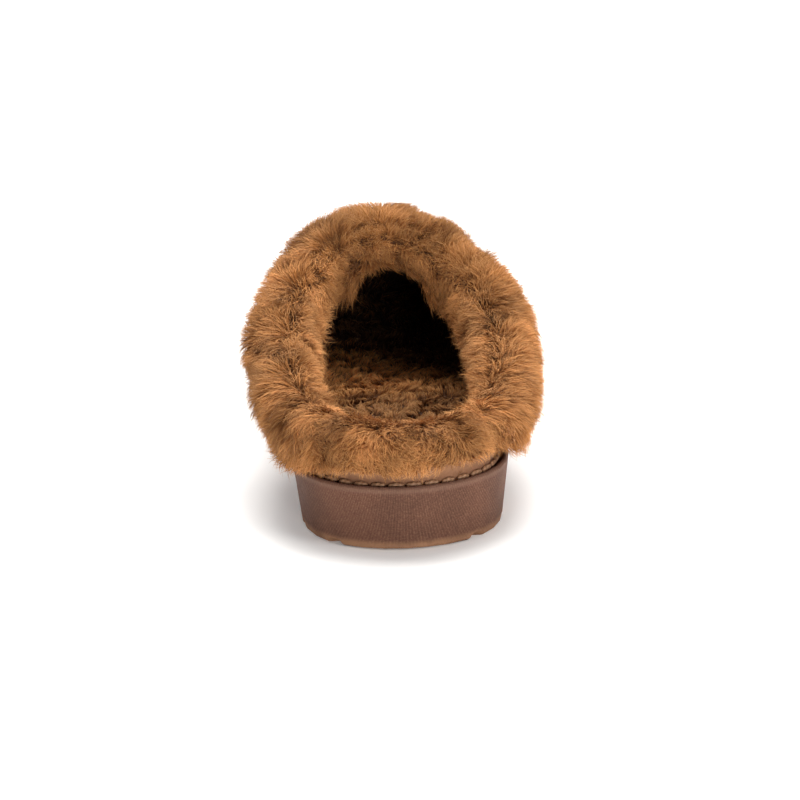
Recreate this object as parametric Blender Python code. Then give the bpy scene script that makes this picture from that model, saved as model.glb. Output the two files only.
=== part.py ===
"""Clog slipper for the right foot, made of a sole, an upper, a shearling cuff and a footbed.

The moulded sole has a stitching channel round its rim. The upper is a hollow sewn shell that stands in
the sole behind the channel, open underneath and at the foot opening. The cuff is a roll of deep shearling
folded over the top line of the upper, and the footbed lies on the bed of the sole.

Metres, +Z up, toe towards +Y, outer side of the foot towards +X, standing on Z = 0.
"""

import math
import random
from collections import namedtuple

import bmesh
import bpy
import numpy as np
from mathutils import Vector

MM = 0.001

# Driving dimensions
LENGTH = 262 * MM  # rim of the sole, heel to toe
BALL_WIDTH = 96 * MM  # rim of the sole across the ball of the foot
HEEL_TOP = 37 * MM  # top line of the upper over the floor, at the back of the heel
INSTEP_TOP = 75 * MM  # top line of the upper over the floor, at the throat
WALL = 2.2 * MM  # thickness of the upper
GAP = 0.4 * MM  # clearance between pieces that meet

# Sole
TREAD_RADIUS = 1.3 * MM  # round between tread and side
SIDE_SLOPE = math.tan(math.radians(7))  # lean of the side, inwards to the tread
SHOULDER = 0.8 * MM  # round at the top of the side
EDGE = 1.6 * MM  # width of the rim outside the stitching channel
CHANNEL_WIDTH = 2.2 * MM
CHANNEL_DEPTH = 1.2 * MM
CHANNEL_LEAN = 0.3 * MM  # how far the outer face of the channel leans
GROOVE_RADIUS = 2.5 * MM
GROOVE_SIDES = 10
GROOVE_LENGTH = 1.5 * BALL_WIDTH  # past both sides of the sole
GROOVES_ALONG = tuple(y * MM for y in (12, 31, 50, 69, 146, 162, 178, 194, 210, 226))

# Footbed
FOOTBED_HEIGHT = 8.5 * MM
FOOTBED_ROUND = 3 * MM

# Cuff
CUFF_RISE = 6.5 * MM  # crest of the roll over the top line
CUFF_STOPS = 21  # rings from the outer hem to the inner hem
LOCK_DEPTH = 2.0 * MM  # how far a lock stands out, and half of it how deep the gaps beside it are
LOCK_LAY = 2.2 * MM  # how far the tip of a lock lies over, away from the furrow
LOCK_SWAY = 0.8 * MM  # chance sideways shift of a tip
LOCK_SEED = 11

# Columns round the foot, of the body in each section and of the cuff in all, and rows of the upper
BODY_COLUMNS = 5
CUFF_COLUMNS = 112
WALL_ROWS = 10

# Fine steps in which the form is measured, in each section and up the wall
FINE_COLUMNS = 40
FINE_ROWS = 80
TOP_ROWS = 5  # rows that give the wall's direction at the top line

SWELL_POWER = 1.5  # how closely the belly keeps to the middle of the wall
SHARP_ANGLE = math.radians(40)  # edges that turn more than this stay sharp

# Sections of the slipper, taken round the foot from the back of the heel by the outer side.
# rim: edge of the sole; top: top line of the upper; both across in half ball widths, along in lengths.
# rise: height of the top line, 0 at HEEL_TOP and 1 at INSTEP_TOP.
# full: exponent of the wall's curve; turn: how far it has turned over at the top line, in degrees.
# belly: outward swell of the wall; sag: dip of the vamp under its curve; drop and pile: reach and
# depth of the cuff. All in millimetres.
Section = namedtuple(
    "Section",
    "name rim_across rim_along top_across top_along rise full turn belly sag"
    " drop_out drop_in pile_out pile_in",
)
SECTIONS = (
    Section("heel_back", 0.00, 0.000, 0.00, 0.021, 0.00, 2.3, 25, 1.2, 0, 9.5, 7.5, 10.0, 10.0),
    Section("heel_outer", 0.66, 0.070, 0.60, 0.100, 0.03, 2.3, 25, 1.5, 0, 10.5, 8.0, 10.0, 10.5),
    Section("waist_outer", 0.74, 0.220, 0.74, 0.206, 0.14, 2.2, 30, 2.5, 0, 18.0, 12.0, 13.8, 11.0),
    Section("shank_outer", 0.83, 0.390, 0.74, 0.294, 0.31, 2.1, 42, 3.5, 0, 20.5, 15.0, 14.0, 12.5),
    Section("ball_outer", 1.00, 0.580, 0.63, 0.366, 0.56, 1.9, 58, 3.0, 1, 23.0, 17.0, 12.6, 13.8),
    Section("fore_outer", 0.95, 0.750, 0.42, 0.416, 0.79, 1.85, 70, 2.0, 4, 25.0, 15.0, 12.0, 12.5),
    Section("toe_outer", 0.66, 0.905, 0.17, 0.443, 0.95, 1.8, 78, 1.0, 6, 26.0, 13.0, 12.0, 8.5),
    Section("toe_tip", -0.15, 1.000, -0.07, 0.454, 1.00, 1.8, 80, 0.0, 7, 26.0, 13.0, 11.4, 8.5),
    Section("toe_inner", -0.80, 0.930, -0.27, 0.447, 0.97, 1.8, 78, 1.0, 6, 26.0, 13.0, 10.6, 11.0),
    Section("fore_inner", -1.00, 0.770, -0.46, 0.420, 0.85, 1.85, 70, 2.0, 4, 25.0, 15.0, 10.0, 13.5),
    Section("ball_inner", -0.93, 0.610, -0.61, 0.370, 0.67, 1.9, 58, 3.0, 1, 23.0, 17.0, 9.2, 12.0),
    Section("shank_inner", -0.76, 0.410, -0.73, 0.298, 0.44, 2.1, 42, 3.5, 0, 20.5, 15.0, 15.6, 11.5),
    Section("waist_inner", -0.74, 0.227, -0.76, 0.206, 0.23, 2.2, 30, 2.5, 0, 19.5, 12.0, 12.8, 11.0),
    Section("heel_inner", -0.66, 0.070, -0.61, 0.100, 0.06, 2.3, 25, 1.5, 0, 15.0, 8.0, 10.5, 10.5),
)

# Heights of the sole along the foot, in millimetres: lift of the tread off the floor, rim and bed.
Height = namedtuple("Height", "along lift rim bed")
HEIGHTS = (
    Height(0, 0.4, 22.0, 17.0),
    Height(12, 0.0, 22.0, 17.0),
    Height(84, 0.0, 21.5, 16.5),
    Height(116, 2.6, 20.5, 15.0),
    Height(146, 0.0, 19.2, 13.0),
    Height(196, 0.0, 18.6, 11.8),
    Height(230, 2.6, 20.4, 13.4),
    Height(262, 8.5, 25.0, 18.0),
)

# Cross-section of the cuff, from the outer hem over the crest to the inner hem. side: 1 outside the
# upper and -1 inside; drop: share of the reach below the top line; rise: share of CUFF_RISE above it;
# pile: share of the depth of the fur.
Roll = namedtuple("Roll", "name side drop rise pile")
ROLL = (
    Roll("outer_hem", 1, 1.00, 0.0, 0.00),
    Roll("outer_hem_round", 1, 1.04, 0.0, 0.45),
    Roll("outer_low", 1, 0.88, 0.0, 0.86),
    Roll("outer_belly", 1, 0.50, 0.0, 1.00),
    Roll("outer_shoulder", 1, 0.10, 0.0, 0.96),
    Roll("outer_crest", 1, 0.00, 0.75, 0.68),
    Roll("outer_top", 1, 0.00, 1.05, 0.28),
    Roll("furrow", 0, 0.00, 0.45, 0.00),
    Roll("inner_top", -1, 0.00, 1.00, 0.30),
    Roll("inner_crest", -1, 0.00, 0.60, 0.72),
    Roll("inner_shoulder", -1, 0.15, 0.0, 0.98),
    Roll("inner_belly", -1, 0.60, 0.0, 0.94),
    Roll("inner_low", -1, 1.00, 0.0, 0.62),
    Roll("inner_hem", -1, 1.04, 0.0, 0.00),
)
SLOT_SHARES = (0.66, 0.33)  # stops of the slot's faces between hem and top line


def column(name):
    """One column of SECTIONS as an array."""
    return np.array([getattr(section, name) for section in SECTIONS], float)


def along_the_foot(name, y):
    """One column of HEIGHTS at the places y, on a curve with no overshoot."""
    at = np.array([row.along for row in HEIGHTS]) * MM
    value = np.array([getattr(row, name) for row in HEIGHTS]) * MM
    step = np.diff(at)
    slope = np.diff(value) / step
    tangent = np.zeros(len(at))
    for i in range(1, len(at) - 1):
        if slope[i - 1] * slope[i] > 0:
            tangent[i] = 2 * slope[i - 1] * slope[i] / (slope[i - 1] + slope[i])
    tangent[-1] = slope[-1]
    y = np.clip(y, at[0], at[-1])
    i = np.clip(np.searchsorted(at, y, side="right") - 1, 0, len(step) - 1)
    t = (y - at[i]) / step[i]
    held = value[i] * (1 + 2 * t) * (1 - t) ** 2 + value[i + 1] * t * t * (3 - 2 * t)
    return held + step[i] * (tangent[i] * t * (1 - t) ** 2 + tangent[i + 1] * t * t * (t - 1))


def unit(vectors):
    return vectors / np.linalg.norm(vectors, axis=-1, keepdims=True)


class Last:
    """The form of the slipper in columns round the foot, from which every piece is taken.

    places: where the columns stand, counted in sections from the back of the heel.
    """

    def __init__(self, places):
        self.places = places
        self.columns = len(places)
        across = self.around("rim_across") * BALL_WIDTH / 2
        self.rim = np.stack([across, self.around("rim_along") * LENGTH], axis=1)
        forward = np.roll(self.rim, -1, axis=0) - np.roll(self.rim, 1, axis=0)
        self.inward = unit(np.stack([-forward[:, 1], forward[:, 0]], axis=1))
        self.wall = self.upper_wall()
        steps = np.linalg.norm(np.diff(self.wall, axis=1), axis=2)
        self.below_top = np.pad(np.cumsum(steps[:, ::-1], axis=1), ((0, 0), (1, 0)))[:, ::-1]
        round_it = np.roll(self.wall, -1, axis=0) - np.roll(self.wall, 1, axis=0)
        self.normals = unit(np.cross(round_it, np.gradient(self.wall, axis=1)))

    def around(self, name):
        """A column of SECTIONS on a closed cubic curve, read at every column round the foot."""
        values = column(name)
        count = len(values)
        here = np.arange(count)
        system = np.zeros((count, count))
        system[here, here] = 4
        system[here, (here + 1) % count] = 1
        system[here, (here - 1) % count] = 1
        bend = np.linalg.solve(system, 6 * (np.roll(values, 1) - 2 * values + np.roll(values, -1)))
        here = self.places.astype(int)
        after = (here + 1) % count
        share = self.places - here
        rest = 1 - share
        straight = rest * values[here] + share * values[after]
        return straight + ((rest**3 - rest) * bend[here] + (share**3 - share) * bend[after]) / 6

    def ring(self, inset, level, height=0.0):
        """The rim moved inwards by inset, at height over a level of HEIGHTS."""
        place = self.rim + self.inward * np.reshape(inset, (-1, 1))
        return np.column_stack([place, along_the_foot(level, place[:, 1]) + height])

    def upper_wall(self):
        """Fine points of the upper's outer face, in each column from its foot to the top line."""
        foot = self.ring(EDGE + CHANNEL_WIDTH + GAP, "bed", GAP)
        rim_height = along_the_foot("rim", foot[:, 1])
        top_across = self.around("top_across") * BALL_WIDTH / 2
        top_plan = np.stack([top_across, self.around("top_along") * LENGTH], axis=1)
        top_height = HEEL_TOP + self.around("rise") * (INSTEP_TOP - HEEL_TOP)
        power = 2 / self.around("full")[:, None]
        turn = np.radians(self.around("turn"))[:, None]
        t = np.linspace(0, 1, FINE_ROWS)
        inwards = (1 - np.cos(turn * t) ** power) / (1 - np.cos(turn) ** power)
        upwards = (np.sin(turn * t) / np.sin(turn)) ** power
        plan = foot[:, None, :2] + inwards[..., None] * (top_plan - foot[:, :2])[:, None]
        swell = self.around("belly")[:, None] * MM * np.sin(math.pi * t) ** SWELL_POWER
        plan -= swell[..., None] * self.inward[:, None]
        height = rim_height[:, None] + upwards * (top_height - rim_height)[:, None]
        height -= self.around("sag")[:, None] * MM * np.sin(math.pi * inwards) ** 2
        curve = np.concatenate([plan, height[..., None]], axis=2)
        return np.concatenate([foot[:, None], curve], axis=1)

    def on_wall(self, down, out):
        """A ring at distance down from the top line along the upper, and out from its outer face.

        Above the top line, where down is negative, the ring goes on straight.
        """
        down = np.broadcast_to(down, self.columns)
        out = np.broadcast_to(out, self.columns)
        points = np.empty((self.columns, 3))
        for i in range(self.columns):
            below = self.below_top[i, ::-1]
            place = [np.interp(down[i], below, self.wall[i, ::-1, k]) for k in range(3)]
            normal = np.array([np.interp(down[i], below, self.normals[i, ::-1, k]) for k in range(3)])
            upwards = unit(self.wall[i, -1] - self.wall[i, -1 - TOP_ROWS])
            points[i] = place + upwards * max(0.0, -down[i]) + out[i] * unit(normal)
        return points


def even_places(per_section):
    """Places of columns that are evenly spaced in every section."""
    return np.arange(per_section * len(SECTIONS)) / per_section


def even_along_top(count):
    """Places of columns that are evenly spaced along the top line."""
    fine = even_places(FINE_COLUMNS)
    top = Last(fine).wall[:, -1]
    steps = np.linalg.norm(np.roll(top, -1, axis=0) - top, axis=1)
    travelled = np.append(0, np.cumsum(steps))
    return np.interp(np.arange(count) / count * travelled[-1], travelled, np.append(fine, len(SECTIONS)))


def cap(bm, row):
    """Closes a ring with strips from its outer side to its inner side."""
    count = len(row)
    for i in range(count // 2):
        corners = (row[i], row[i + 1], row[(count - i - 1) % count], row[(count - i) % count])
        bm.faces.new(list(dict.fromkeys(corners)))


def loft(name, rings, tube=False):
    """An object through the rings. A tube's last ring joins its first; otherwise both ends are capped."""
    bm = bmesh.new()
    rows = [[bm.verts.new(point) for point in points] for points in rings]
    pairs = list(zip(rows, rows[1:]))
    if tube:
        pairs.append((rows[-1], rows[0]))
    else:
        cap(bm, rows[0])
        cap(bm, rows[-1])
    for low, high in pairs:
        for i in range(len(low)):
            j = (i + 1) % len(low)
            bm.faces.new((low[i], low[j], high[j], high[i]))
    return finish_mesh(name, bm)


def finish_mesh(name, bm):
    """Turns a bmesh into an object with its faces out and its round faces smooth."""
    bmesh.ops.recalc_face_normals(bm, faces=bm.faces)
    mesh = bpy.data.meshes.new(name)
    bm.to_mesh(mesh)
    bm.free()
    mesh.shade_smooth()
    mesh.set_sharp_from_angle(angle=SHARP_ANGLE)
    made = bpy.data.objects.new(name, mesh)
    bpy.context.collection.objects.link(made)
    return made


def material(name, colour, roughness):
    """A plain Principled material; none of the pieces is metal."""
    made = bpy.data.materials.new(name)
    made.use_nodes = True
    shader = made.node_tree.nodes["Principled BSDF"]
    shader.inputs["Base Color"].default_value = (*colour, 1)
    shader.inputs["Roughness"].default_value = roughness
    shader.inputs["Metallic"].default_value = 0
    return made


def make_sole(last):
    """The moulded unit: tread, leaning side, rim, stitching channel and bed."""
    tall = along_the_foot("rim", last.rim[:, 1]) - along_the_foot("lift", last.rim[:, 1])
    side_inset = SIDE_SLOPE * (tall - TREAD_RADIUS)
    rings = []
    for angle in np.radians((90, 60, 30, 0)):
        inset = side_inset + TREAD_RADIUS * (1 - math.cos(angle))
        rings.append(last.ring(inset, "lift", TREAD_RADIUS * (1 - math.sin(angle))))
    rings.append(last.ring(SIDE_SLOPE * SHOULDER, "rim", -SHOULDER))
    rings.append(last.ring(SHOULDER, "rim"))
    rings.append(last.ring(EDGE, "rim"))
    rings.append(last.ring(EDGE + CHANNEL_LEAN, "rim", -CHANNEL_DEPTH))
    rings.append(last.ring(EDGE + CHANNEL_WIDTH, "rim", -CHANNEL_DEPTH))
    rings.append(last.ring(EDGE + CHANNEL_WIDTH, "bed"))
    made = loft("sole", rings)
    cut = made.modifiers.new("grooves", "BOOLEAN")
    cut.operation = "DIFFERENCE"
    cut.object = make_grooves()
    return made


def make_grooves():
    """Half-round bars across the tread, which cut the gaps between the lugs."""
    bm = bmesh.new()
    for y in GROOVES_ALONG:
        made = bmesh.ops.create_cone(
            bm,
            cap_ends=True,
            segments=GROOVE_SIDES,
            radius1=GROOVE_RADIUS,
            radius2=GROOVE_RADIUS,
            depth=GROOVE_LENGTH,
        )
        lift = float(along_the_foot("lift", np.array([y]))[0])
        for vert in made["verts"]:
            across, up, along = vert.co.z, vert.co.x, vert.co.y
            vert.co = Vector((across, y + along, lift + up))
    made = finish_mesh("grooves", bm)
    made.hide_render = True
    made.display_type = "WIRE"
    return made


def make_upper(last):
    """The sewn shell: its outer face, turned in at the top line and down its inner face."""
    # Rows stand closer at both ends, in the turn of the toe and under the cuff.
    shares = (1 + np.cos(np.linspace(0, math.pi, WALL_ROWS))) / 2
    height = last.below_top[:, 1]
    outer = [last.on_wall(share * height, 0) for share in shares]
    inner = [last.on_wall(share * height, -WALL) for share in shares]
    foot_outer = last.wall[:, 0]
    foot_inner = foot_outer + np.column_stack([last.inward * WALL, np.zeros(last.columns)])
    return loft("upper", [foot_outer, *outer, *reversed(inner), foot_inner], tube=True)


def roll_section(last):
    """Where the cuff's rings lie on the upper: distance down and out, a row for each stop of the roll."""
    reach = {1: last.around("drop_out") * MM, 0: 0, -1: last.around("drop_in") * MM}
    depth = {1: last.around("pile_out") * MM, 0: 0, -1: last.around("pile_in") * MM}
    face = {1: GAP, 0: -WALL / 2, -1: -WALL - GAP}
    none = np.zeros(last.columns)
    down = np.array([none + row.drop * reach[row.side] - row.rise * CUFF_RISE for row in ROLL])
    out = np.array([none + face[row.side] + row.side * row.pile * depth[row.side] for row in ROLL])
    at = np.linspace(0, len(ROLL) - 1, CUFF_STOPS)
    return through_rows(down, at), through_rows(out, at)


def through_rows(values, at):
    """A smooth curve through the rows of an array, read at the places at."""
    padded = np.concatenate([2 * values[:1] - values[1:2], values, 2 * values[-1:] - values[-2:-1]])
    i = np.minimum(at.astype(int), len(values) - 2)
    t = (at - i)[:, None]
    before, here, after, beyond = (padded[i + k] for k in range(4))
    bend = 2 * before - 5 * here + 4 * after - beyond
    twist = 3 * here - before - 3 * after + beyond
    return here + t / 2 * (after - before + t * (bend + t * twist))


def raise_locks(rings):
    """Pulls the roll's points into pointed locks, in staggered rows that lie away from the furrow."""
    chance = random.Random(LOCK_SEED)
    grid = np.array(rings)
    raised = grid.copy()
    stops, columns = grid.shape[:2]
    furrow = stops // 2
    across = np.gradient(grid, axis=0)
    along = unit(np.roll(grid, -1, axis=1) - np.roll(grid, 1, axis=1))
    out = unit(np.cross(across, along))
    for k in range(1, stops - 1):
        lay = unit(across[k]) * (-1 if k < furrow else 1)
        for i in range(columns):
            if (k + i) % 2 or k == furrow:
                raised[k, i] -= out[k, i] * LOCK_DEPTH / 2
            else:
                size = chance.uniform(0.7, 1.3)
                sway = along[k, i] * LOCK_SWAY * chance.uniform(-1, 1)
                raised[k, i] += (out[k, i] * LOCK_DEPTH + lay[i] * LOCK_LAY) * size + sway
    return list(raised)


def make_cuff(last):
    """The shearling roll folded over the top line, with a slot that the upper stands in."""
    rings = raise_locks([last.on_wall(down, out) for down, out in zip(*roll_section(last))])
    outer = last.around("drop_out") * MM
    inner = last.around("drop_in") * MM
    rings += [last.on_wall(share * inner, -WALL - GAP) for share in SLOT_SHARES]
    rings += [last.on_wall(-GAP, -WALL - GAP), last.on_wall(-GAP, GAP)]
    rings += [last.on_wall(share * outer, GAP) for share in reversed(SLOT_SHARES)]
    return loft("cuff", rings, tube=True)


def make_footbed(last):
    """The shearling insole, with a rounded upper edge."""
    inset = EDGE + CHANNEL_WIDTH + GAP + WALL + GAP
    half_turned = (1 - math.sqrt(0.5)) * FOOTBED_ROUND
    rings = [
        last.ring(inset, "bed", GAP),
        last.ring(inset, "bed", FOOTBED_HEIGHT - FOOTBED_ROUND),
        last.ring(inset + half_turned, "bed", FOOTBED_HEIGHT - half_turned),
        last.ring(inset + FOOTBED_ROUND, "bed", FOOTBED_HEIGHT),
    ]
    return loft("footbed", rings)


def stand_on_origin(pieces):
    """Hangs the pieces on an empty, placed so that the middle of their box's bottom is the origin."""
    graph = bpy.context.evaluated_depsgraph_get()
    corners = np.array([corner for piece in pieces for corner in piece.evaluated_get(graph).bound_box])
    low = corners.min(axis=0)
    middle = (low + corners.max(axis=0)) / 2
    slipper = bpy.data.objects.new("slipper", None)
    bpy.context.collection.objects.link(slipper)
    slipper.location = (-middle[0], -middle[1], -low[2])
    for made in bpy.data.objects:
        if made is not slipper:
            made.parent = slipper


def main():
    for old in list(bpy.data.objects):
        bpy.data.objects.remove(old)
    last = Last(even_places(BODY_COLUMNS))
    top_last = Last(even_along_top(CUFF_COLUMNS))
    finishes = (
        (make_sole(last), material("moulded_foam", (0.165, 0.076, 0.051), 0.6)),
        (make_upper(last), material("suede", (0.262, 0.114, 0.053), 0.9)),
        (make_cuff(top_last), material("shearling", (0.35, 0.156, 0.058), 0.95)),
        (make_footbed(last), material("shearling_pile", (0.28, 0.125, 0.05), 0.95)),
    )
    for made, finish in finishes:
        made.data.materials.append(finish)
    stand_on_origin([made for made, finish in finishes])


main()
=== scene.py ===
"""Looks of the clog slipper: moulded sole and stitches, suede upper, shearling cuff and footbed.

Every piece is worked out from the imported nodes. Metres, +Z up, toe towards +Y.
"""

import math
from collections import namedtuple

import bmesh
import bpy
import numpy as np
from mathutils import Matrix, Vector
from mathutils.bvhtree import BVHTree
from mathutils.kdtree import KDTree


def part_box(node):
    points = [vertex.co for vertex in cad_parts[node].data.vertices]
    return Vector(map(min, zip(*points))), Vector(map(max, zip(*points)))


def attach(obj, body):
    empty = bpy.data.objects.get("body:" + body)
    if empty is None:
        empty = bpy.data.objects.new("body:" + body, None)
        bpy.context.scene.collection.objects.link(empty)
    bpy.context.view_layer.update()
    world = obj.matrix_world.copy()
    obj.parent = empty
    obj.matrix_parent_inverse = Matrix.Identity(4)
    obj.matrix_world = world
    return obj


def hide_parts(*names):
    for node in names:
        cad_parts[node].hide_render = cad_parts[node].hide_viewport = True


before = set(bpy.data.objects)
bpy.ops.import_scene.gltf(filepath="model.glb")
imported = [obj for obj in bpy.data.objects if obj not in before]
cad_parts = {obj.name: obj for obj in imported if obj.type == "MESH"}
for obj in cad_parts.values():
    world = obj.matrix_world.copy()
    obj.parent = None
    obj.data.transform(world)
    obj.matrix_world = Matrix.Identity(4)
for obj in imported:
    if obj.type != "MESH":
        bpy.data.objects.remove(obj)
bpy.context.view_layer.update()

MM = 0.001
TURN = 2 * math.pi
TINY = 1e-12
WELD_DISTANCE = 0.001 * MM

# Camera, as the photograph was taken: directions in degrees, the rest in metres and pixels
CAMERA_AZIMUTH = -2
CAMERA_ELEVATION = 17
CAMERA_ROLL = -1.8
CAMERA_DEPTH = 0.95
CAMERA_FOCAL = 2950
FRAME_WIDTH = 800
HEEL_PIXEL = (403, 549)  # where the back of the heel stands on the floor in the photograph
HEEL_INSET = 4 * MM  # that point's distance from the back of the sole
SENSOR_WIDTH = 36  # millimetres
CLIP_START = 0.01

# Studio, in metres and watts
Lamp = namedtuple("Lamp", "name place size power colour")
LAMPS = (
    Lamp("key_light", (0.1, 0.45, 1.6), 1.2, 43, (1.0, 0.98, 0.95)),
    Lamp("side_light", (0.9, -0.8, 0.75), 0.5, 6, (1.0, 0.98, 0.95)),
    Lamp("low_light", (0.25, -1.5, 0.16), 0.3, 10, (1.0, 1.0, 1.0)),
)
LAMP_AIM = (0, -0.05, 0.04)
SKY_AXIS = (0.0, 0.85, 0.45)  # towards the strongest part of the light all round
SKY_SPAN = (-0.1, 0.9)  # cosines to that axis between which the light grows
SKY_STRENGTH = (0.14, 1.15)
FLOOR_REACH = 30
FLOOR_STEPS = 8
FLOOR_SPAN = (0.5, 2.5)  # distances between which the floor's glow grows
FLOOR_GLOW = (0.10, 1.0)

# Sole
RIM_STEPS = 720
SIDE_HEIGHT = 15 * MM  # where the side is probed
PROBE_REACH = 0.3  # how far out the rays start that probe the side
PROBE_TOP = 0.1  # how high the rays start that look down
# Insets are measured from the side where it is probed. At the tip of the toe, where the rim lies highest,
# that of the stitches is past the channel, and they lie under the upper.
EDGE_INSET = 1.2 * MM  # where the height of the rim is read
CHANNEL_INSET = 2.7 * MM  # where the stitches lie
SIDE_LEAN = math.tan(math.radians(7))  # how far the side leans in to the tread
SIDE_LIKENESS = 0.93  # least cosine between the side and a face that is part of it
SIDE_SMOOTHING = 40  # rounds of evening out the directions of the side
SHARP_ANGLE = math.radians(35)
LINE_PITCH = 1.25 * MM
LINE_FAN = 35 * MM  # distance from the heel's middle at which the lines are fully slanted
LINE_SLANT = 0.8
LINE_TONE = 0.09
LINE_RELIEF = 0.5
SPECKLE_RELIEF = 1.2
CLOUD_SPAN = (0.3, 0.7)  # part of the clouds' noise over which the foam gets lighter
CLOUD_TONE = (0.86, 1.14)
FLOOR_BOUNCE_ZONE = (3.8 * MM, 1.5 * MM)  # heights between which the painted bounce light of the floor grows on the lower edge
FLOOR_BOUNCE_SPAN = (0.35, 0.6)  # part of the clouds' noise over which the painted bounce light is stronger
FLOOR_BOUNCE_SHARE = (0.45, 0.95)
RIM_HIGHLIGHT_ZONE = (1.6 * MM, 0.2 * MM)  # distances under the read height of the rim where the painted highlight grows
RIM_HIGHLIGHT_SHARE = 0.35

# Stitches
STITCH_PITCH = 6.3 * MM
STITCH_SHARE = 0.84  # length of a stitch in pitches
STITCH_ARCH = 0.6  # height of its arch in thread radii
ARCH_SINK = 0.35  # share of the arch by which the whole stitch is let down
THREAD_RADIUS = 0.8 * MM
THREAD_END = 0.12  # square of the least radius, as a share
THREAD_FULLNESS = 6  # power that keeps the thread full almost to its ends
THREAD_SIDES = 8
THREAD_RINGS = 9
THREAD_TURNS = 5  # turns of the ply along one stitch
THREAD_PLIES = 2
HOLE_RADIUS = 0.6 * MM
HOLE_SIDES = 10
HOLE_LIFT = 0.05 * MM

# Upper
INSIDE_HEIGHT = 32 * MM  # height of a line along the foot that every inner face of the upper looks to
INSIDE_REACH = 80 * MM  # half the length of that line
FLAT_ANGLE = math.radians(40)  # most that two joined triangles turn
SQUARE_ANGLE = math.radians(60)  # most that a joined face's corners are off square
BRUSHED_SHARE = 0.7  # of the brushed clouds in the suede's colour; the rest is nap

# Colours. A ramp is a row of places from 0 to 1, each with its colour.
FOAM_RAMP = (
    (0.25, (0.078, 0.032, 0.019)),
    (0.52, (0.114, 0.049, 0.029)),
    (0.80, (0.180, 0.086, 0.051)),
)
# Painted bounce light from the floor, on the sole's lower edge
FLOOR_BOUNCE_COLOUR = (0.30, 0.155, 0.082)
# Painted highlight on the rounded top of the sole's rim
RIM_HIGHLIGHT_COLOUR = (0.21, 0.115, 0.080)
SUEDE_RAMP = (
    (0.32, (0.190, 0.083, 0.039)),
    (0.52, (0.270, 0.128, 0.064)),
    (0.70, (0.360, 0.187, 0.102)),
)
SUEDE_SHEEN = (0.9, 0.65, 0.45)
INNER_SHADE_COLOUR = (0.018, 0.007, 0.003)  # inner face of the upper, under its pile, nearly black: painted shade
PLY_RAMP = (
    (0.0, (0.24, 0.120, 0.060)),
    (0.5, (0.36, 0.190, 0.100)),
    (1.0, (0.46, 0.260, 0.145)),
)
# Painted shade of the needle holes, on flat discs
HOLE_SHADE_RAMP = ((0.3, (0.008, 0.004, 0.002)), (0.7, (0.030, 0.014, 0.008)))
FLOOR_RAMP = ((0.3, (0.90, 0.90, 0.90)), (0.7, (0.93, 0.93, 0.93)))
FUR_STOPS = (0.20, 0.60, 1.0)  # places along a hair of the three colours of a fur
FUR_SHEEN = (1, 0.7, 0.45)
CUFF_COLOURS = ((0.080, 0.029, 0.008), (0.32, 0.124, 0.034), (0.64, 0.305, 0.110))
PILE_COLOURS = ((0.16, 0.060, 0.018), (0.44, 0.174, 0.050), (0.68, 0.338, 0.120))
# The lining is the same pile as the insole, painted darker: painted shade inside the upper
SHADED_LINING_COLOURS = ((0.050, 0.020, 0.007), (0.200, 0.084, 0.028), (0.360, 0.180, 0.070))
SKIN_STOPS = (0.3, 0.7)  # places on the tufts' noise of the two colours of a ground
CUFF_SKIN = ((0.045, 0.018, 0.006), (0.13, 0.055, 0.020))
PILE_SKIN = ((0.080, 0.030, 0.009), (0.22, 0.086, 0.026))

# Hairs are flat ribbons, drawn into locks. Lengths and width in metres; stand and lie: reach of the tip
# off the ground and along it, as shares of the length; lock: hairs in a lock; gather: how far the tips of
# a lock come together; wildness: chance turn of a lock in radians; curl: chance sideways reach of its tip.
Fur = namedtuple("Fur", "length stand lie lock gather wildness curl width")
CUFF_FUR = Fur(9 * MM, 0.50, 0.70, 100, 0.4, 0.35, 0.25, 0.22 * MM)
PILE_FUR = Fur(4.6 * MM, 0.55, 0.65, 22, 0.3, 0.9, 0.25, 0.32 * MM)
LINING_FUR = Fur(6.5 * MM, 0.42, 0.75, 40, 0.6, 0.6, 0.2, 0.30 * MM)
Roots = namedtuple("Roots", "places normals lay")
CUFF_PARTS = 4
HAIRS_A_PART = 38000
FOOTBED_HAIRS = 26000
LINING_HAIRS = 12000
STOPS = np.array([0.0, 0.4, 0.75, 1.0])  # places of a hair's points along it
TAPER = np.array([1.0, 0.95, 0.7, 0.0])  # width of a hair at those places
ROOT_RISE = 1.6  # how steeply a hair leaves its root; 1 is an even rise to the tip
ROOT_LEAN = 0.35  # how much it leans over at its root; 1 is an even lean to the tip
GATHER_POWER = 1.6  # how late along its hairs a lock draws together
SWAY_WAVES = 4  # chance waves that a sway is the sum of

# Chance differences between locks and between the hairs of a lock
LOCK_SIZE = (0.75, 1.2)
HAIR_SIZE = (0.8, 1.12)
LOCK_STAND = (0.75, 1.3)
HAIR_GATHER = (0.5, 1.1)
HAIR_WIDTH = (0.75, 1.25)
HAIR_TWIST = 0.35  # radians
RIBBON_TWIST = 0.6  # radians
TIP_SPREAD = 0.07  # share of the length
BEND_TURN = (3, 8)  # radians along a hair
BEND_REACH = 0.08  # share of the length
LOCK_SHADE = 0.14
HAIR_SHADE = 0.15
SHADE_LIMITS = (-0.45, 0.4)
STRAY_SHARE = 0.03  # hairs that stand out of their lock
STRAY_LENGTH = 1.3

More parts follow.
